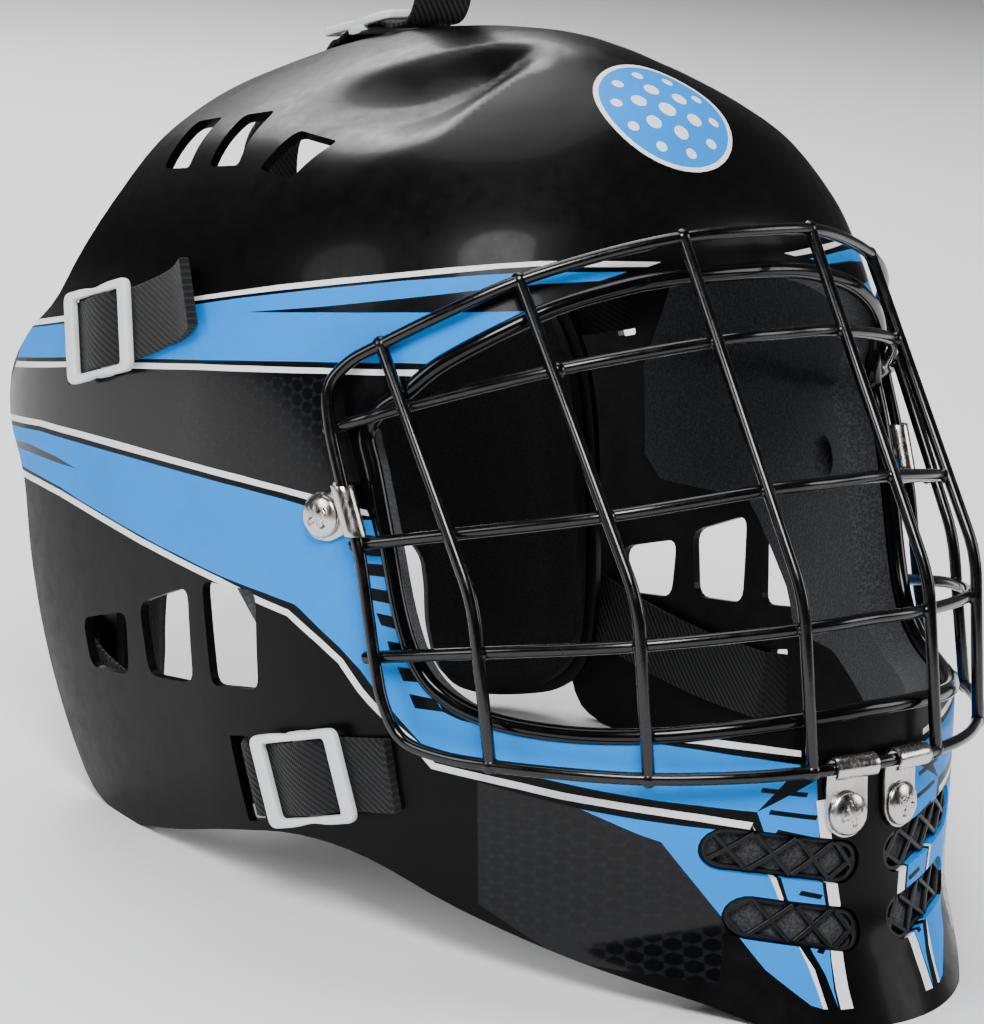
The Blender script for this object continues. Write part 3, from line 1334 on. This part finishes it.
def build_vent(name, slot):
    """A rim just inside the slot and a lattice of crossed bars."""
    x0, z0, x1, z1, r = slot
    turn = math.atan2(z1 - z0, x1 - x0)
    bm = bmesh.new()
    laid(bm, slot_outline(x0 + 1.1, z0, x1 - 1.1, z1, r - 1.1, 12), closed=True)
    hole = slot_outline(x0 + 1, z0, x1 - 1, z1, r - 1)
    for i in range(4):
        for slope in (-0.75, 0.75):
            x = x0 + 3 + i * GRID_PITCH
            z = z0 + (x - x0) * math.tan(turn)
            line = [(x + q * math.cos(slope + turn), z + q * math.sin(slope + turn))
                    for q in [j * 0.5 for j in range(-24, 25)]]
            line = [p for p in line if inside(hole, *p)]
            if len(line) > 4:
                laid(bm, line[::3] + (line[-1:] if (len(line) - 1) % 3 else []))
    pair(f"vent_grid_{name}", bm, [GRID_NYLON], "vent_grid", f"vent_mesh_{name}")


# ---- back plate --------------------------------------------------------------------------------

BACK_EDGE = [
    (0, 221), (22, 219), (42, 213), (58, 203), (69, 188), (76, 168), (79, 145), (80, 115),
    (80, 80), (78, 56), (72, 44), (64, 40), (54, 40), (47, 46), (44, 62), (43.5, 80), (42, 91),
    (36, 98), (18, 99), (0, 99),
]
BACK_TOP = BACK_EDGE[0][1]
BACK_ARCH = BACK_EDGE[-1][1]
BACK_MIDDLE = 131
PUFF_REACH = 14     # a crowned pad is at its full depth this far in from its edge


def build_back(name, node, off, depth, margin, look, slot, crown=0.0):
    """A panel on the back's curve: cut to its outline, mirrored and given its thickness."""
    past_middle = -6
    outline = grown(flat_curve(BACK_EDGE, 5), -margin, BACK_MIDDLE)
    outline += [(past_middle, BACK_ARCH + margin), (past_middle, BACK_TOP - margin)]
    bm = bmesh.new()
    bmesh.ops.create_grid(bm, x_segments=34, y_segments=76, size=0.5)
    bmesh.ops.scale(bm, vec=(85, 190, 1), verts=bm.verts)
    bmesh.ops.translate(bm, vec=(42.5, BACK_MIDDLE, 0), verts=bm.verts)
    crop(bm, outline)
    bmesh.ops.dissolve_degenerate(bm, edges=bm.edges, dist=0.05)
    out = bm.verts.layers.float_vector.new("out")
    puff = bm.verts.layers.float.new("puff")
    for vert in bm.verts:
        x, z = vert.co.x, vert.co.y
        edge = min(math.hypot((x - a) * MM_PER_DEGREE, z - b) for a, b in outline if a > -1)
        spot = back_frame(1, x, z, 0, off)
        vert[out] = spot.to_3x3() @ Vector((0, 0, 1))
        vert[puff] = smooth(0, PUFF_REACH, edge)
        vert.co = spot.translation
    mirror_half(bm)
    bmesh.ops.recalc_face_normals(bm, faces=bm.faces)

    def shift(vert):
        way = vert[out].copy()
        if vert.co.x < -0.001:
            way.x = -abs(way.x)
        return way * -(depth - crown * (1 - vert[puff]))

    thicken(bm, shift)
    soften(bm, 1.0 if crown else 0.5, 2, 60)
    return piece(name, bm, [look], slot, [node], sharp=55)


# ---- straps and buckles ------------------------------------------------------------------------

WEB_W = 23
WEB_T = 1.6
# Where each strap lies: on the shell (y, height, distance out) or on the plate (turn, height,
# distance out), and how far its width leans off upright, in degrees.
UPPER_STRAP = [
    ("shell", 47.5, 204.6, 5.2, 26), ("shell", 54, 201.8, 2.7, 24), ("shell", 62, 198.8, 1.7, 20),
    ("shell", 74, 194.8, 1.5, 16), ("shell", 82, 192.7, 1.5, 14), ("shell", 89, 191, 3.6, 13),
    ("shell", 95, 189.5, 4.4, 13), ("shell", 101, 188.1, 3.6, 13), ("shell", 108, 186.6, 1.5, 12),
    ("shell", 114, 185.6, 1.5, 12), ("shell", 121, 184.5, -5, 11), ("shell", 127, 183.5, -8, 9),
    ("plate", 70, 182, 2.5, 6), ("plate", 60, 181, 1.4, 3), ("plate", 50, 180, 1.4, 0),
    ("plate", 40, 179, 1.4, 0),
]
LOWER_STRAP = [
    ("shell", -32, 67, 2.2, 12), ("shell", -25, 66.2, 1.6, 12), ("shell", -14.5, 65, 1.5, 12),
    ("shell", -7.5, 63.8, 3.6, 12), ("shell", -1.5, 62.5, 4.4, 12), ("shell", 4.5, 61.2, 3.6, 12),
    ("shell", 11.5, 59.7, 1.5, 12), ("shell", 18, 58.4, 1.5, 12), ("shell", 24.5, 57.4, 1.5, 10),
    ("shell", 31.5, 57, -5, 6), ("shell", 38, 57, -6.5, 0), ("shell", 70, 60, -6.5, -7),
    ("shell", 105, 67, -6.5, -13), ("shell", 124, 73, -7, -17), ("shell", 136, 78, -9.5, -18),
    ("plate", 63, 84, 2, -18), ("plate", 57, 90, 1.5, -20), ("plate", 50, 98, 1.4, -22),
    ("plate", 44, 106, 1.4, -22),
]
TOP_STRAP = [
    (69, 322), (71, 310), (73, 300), (75, 292), (77.5, 287.4), (80.5, 285.2), (84, 284.5),
    (89, 283.7), (95, 284.9), (103, 284.5), (110, 282.1), (117, 278.4), (121, 277.2), (126, 272),
    (129.5, 266.5), (136, 261.5), (150, 257), (158, 253.5), (165, 249), (170.5, 243),
    (173.3, 235), (173.4, 221), (173.4, 207), (173.4, 193),
]


def lie(centres, widths):
    """Frames along a strap: X along it, Y across its width, Z out of its face."""
    spots = []
    for i, here in enumerate(centres):
        ahead = (centres[min(i + 1, len(centres) - 1)] - centres[max(i - 1, 0)]).normalized()
        across = (widths[i] - ahead * widths[i].dot(ahead)).normalized()
        spots.append(basis(ahead, across, ahead.cross(across), here))
    return spots


FOLD_SPOTS = 9     # as far as the turned end reaches back


def ribbon(bm, spots):
    """Webbing with its end turned over, and thickest at the turn."""
    sweep(bm, strip(WEB_W, WEB_T, 0.7), spots)
    fold = [spot @ Matrix.Translation((0, 0, WEB_T)) for spot in spots[:FOLD_SPOTS]]
    sweep(bm, strip(WEB_W - 0.8, WEB_T, 0.7), fold)
    turned = [spots[0] @ Matrix.Translation((x, 0, 0.8)) for x in (-1.1, 0.2)]
    sweep(bm, strip(WEB_W - 0.4, 2 * WEB_T, 0.8), turned)


def build_side_strap(name, node, rows):
    frame_on = {"shell": shell_frame, "plate": back_frame}
    frames = [frame_on[on](-1, a, z, lean, off) for on, a, z, off, lean in rows]
    centres = curve([f.translation for f in frames], 4)
    widths = curve([f.to_3x3() @ Vector((0, 1, 0)) for f in frames], 4)
    spots = lie(centres, widths)
    bm = bmesh.new()
    ribbon(bm, spots)
    write_weave(bm)
    pair(name, bm, [WEBBING], "webbing", node, sharp=60)


def build_top_strap():
    centres = [Vector((0, y, z)) for y, z in flat_curve(TOP_STRAP, 4)]
    spots = lie(centres, [Vector((1, 0, 0))] * len(centres))
    bm = bmesh.new()
    ribbon(bm, spots)
    write_weave(bm)
    bmesh.ops.recalc_face_normals(bm, faces=bm.faces)
    piece("crown_strap", bm, [WEBBING], "webbing", ["strap_top"], sharp=60)


BUCKLE_OUTER = [(-18.5, -14.7), (-7, -14.7), (0, -13.7), (7, -14.7), (18.5, -14.7),
                (18.5, 14.7), (7, 14.7), (0, 13.7), (-7, 14.7), (-18.5, 14.7)]
BUCKLE_INNER = [(-13.5, -12), (-7, -12), (0, -12), (7, -12), (13.5, -12),
                (13.5, 12), (7, 12), (0, 12), (-7, 12), (-13.5, 12)]
BUCKLE_TOP = 5.6
BUCKLE_T = 2.8
UPPER_BUCKLE = (95, 189.5, 13)     # y, height, lean
LOWER_BUCKLE = (-1.5, 62.5, 12)
TOP_BUCKLE = (103, 280.1, -11.3)


def buckle(view):
    """A moulded slide buckle: a flat ring, waisted, with a middle bar held lower by two posts."""
    bm = bmesh.new()
    loops = []
    for outline, radius in ((BUCKLE_OUTER, 3.4), (BUCKLE_INNER, 1.6)):
        loops.append([bm.verts.new((x, y, BUCKLE_TOP)) for x, y in rounded(outline, radius, 5)])
    edges = [bm.edges.new((loop[i - 1], loop[i])) for loop in loops for i in range(len(loop))]
    bmesh.ops.bridge_loops(bm, edges=edges)
    thicken(bm, lambda vert: Vector((0, 0, -BUCKLE_T)))
    soften(bm, 0.8, 3, 60)
    sweep(bm, strip(4.8, 1.8, 0.7), track(
        [Vector((0, v, 1.8)) for v in (-14.2, -7, 0, 7, 14.2)], (0, 0, 1)))
    for v in (-13.2, 13.2):
        sweep(bm, strip(2.1, 2.3, 0.5), track(
            [Vector((u, v, 2.3)) for u in (-4.2, -3.6, 0, 3.6, 4.2)], (0, 0, 1),
            scales=[0.85, 1, 1, 1, 0.85]))
    bmesh.ops.recalc_face_normals(bm, faces=bm.faces)
    bmesh.ops.transform(bm, matrix=view, verts=bm.verts)
    return bm


def top_buckle_view():
    y, z, lean = TOP_BUCKLE
    slope = math.radians(lean)
    ahead = Vector((0, -math.cos(slope), -math.sin(slope)))
    normal = Vector((0, -math.sin(slope), math.cos(slope)))
    return basis(ahead, normal.cross(ahead), normal, Vector((0, y, z)))


# ---- every piece -------------------------------------------------------------------------------

build_shell()
build_piping()
build_lining()
build_cage()
build_clip("chin_hook", "chin_clip", chin_frame(-1), CHIN_WIRE)
build_clip("temple_hook", "temple_clip", temple_frame(-1), TEMPLE_WIRE, TEMPLE_RISE)
build_screw("chin_cross_screw", "chin_screw", chin_frame(-1), 20)
build_screw("temple_cross_screw", "temple_screw", temple_frame(-1), 38)
build_nut("chin_hex_nut", "chin_nut", chin_frame(-1))
build_nut("temple_hex_nut", "temple_nut", temple_frame(-1))
for vent_name, vent_slot in CHIN_SLOTS.items():
    build_vent(vent_name, vent_slot)
build_side_strap("upper_webbing", "strap_upper", UPPER_STRAP)
build_side_strap("lower_webbing", "strap_lower", LOWER_STRAP)
build_top_strap()
pair("upper_slide", buckle(shell_frame(-1, *UPPER_BUCKLE)), [BUCKLE_ACETAL], "buckle",
     "buckle_upper")
pair("lower_slide", buckle(shell_frame(-1, *LOWER_BUCKLE)), [BUCKLE_ACETAL], "buckle",
     "buckle_lower")
piece("crown_slide", buckle(top_buckle_view()), [BUCKLE_ACETAL], "buckle", ["buckle_top"])
build_back("back_panel", "back_plate", 0, BACK["plate"], 0.01, PLATE_PE, "plate")
pad = build_back("back_foam", "back_pad", -BACK["plate"] - GAP, BACK["pad"], 5, PAD_FOAM, "foam",
                 crown=4.0)

# ---- floor and light ---------------------------------------------------------------------------


DIM_ROOM = 0.3
BACKDROP = 2.1
FLOOR_SIZE = 6
AIM = Vector((0, 0, 0.15))
# Name, place, size and power in watts.
LAMPS = [
    ("key", (-0.9, -1.0, 1.5), 0.8, 38),
    ("fill", (1.6, -1.2, 0.9), 1.0, 12),
    ("back", (0.6, 1.6, 1.3), 1.1, 28),
    ("left", (-1.8, 0.3, 1.1), 1.0, 14),
    ("top", (0.3, 0.6, 2.4), 1.8, 32),
]


def build_studio():
    bm = bmesh.new()
    bmesh.ops.create_grid(bm, x_segments=1, y_segments=1, size=FLOOR_SIZE)
    mesh = bpy.data.meshes.new("floor")
    bm.to_mesh(mesh)
    bm.free()
    mesh.materials.append(material("pale_painted_floor", base_color="#FBFBFC", roughness=0.8)[0])
    floor = bpy.data.objects.new("floor", mesh)
    bpy.context.scene.collection.objects.link(floor)
    world = bpy.data.worlds.new("studio")
    bpy.context.scene.world = world
    world.use_nodes = True
    tree = world.node_tree
    # A white backdrop behind the mask and a dim room on the other side.
    way = add(tree, "ShaderNodeTexCoord").outputs["Generated"]
    facing = add(tree, "ShaderNodeVectorMath", {"operation": "DOT_PRODUCT", 1: (0.62, 0.78, 0)},
                 {0: way}).outputs["Value"]
    tree.links.new(spread(tree, facing, -0.1, 0.75, DIM_ROOM, BACKDROP),
                   tree.nodes["Background"].inputs["Strength"])
    for name, at, size, power in LAMPS:
        data = bpy.data.lights.new(name, 'AREA')
        data.shape = 'DISK'
        data.size = size
        data.energy = power
        lamp = bpy.data.objects.new(name, data)
        lamp.location = at
        lamp.rotation_euler = (AIM - Vector(at)).to_track_quat('-Z', 'Y').to_euler()
        bpy.context.scene.collection.objects.link(lamp)


build_studio()
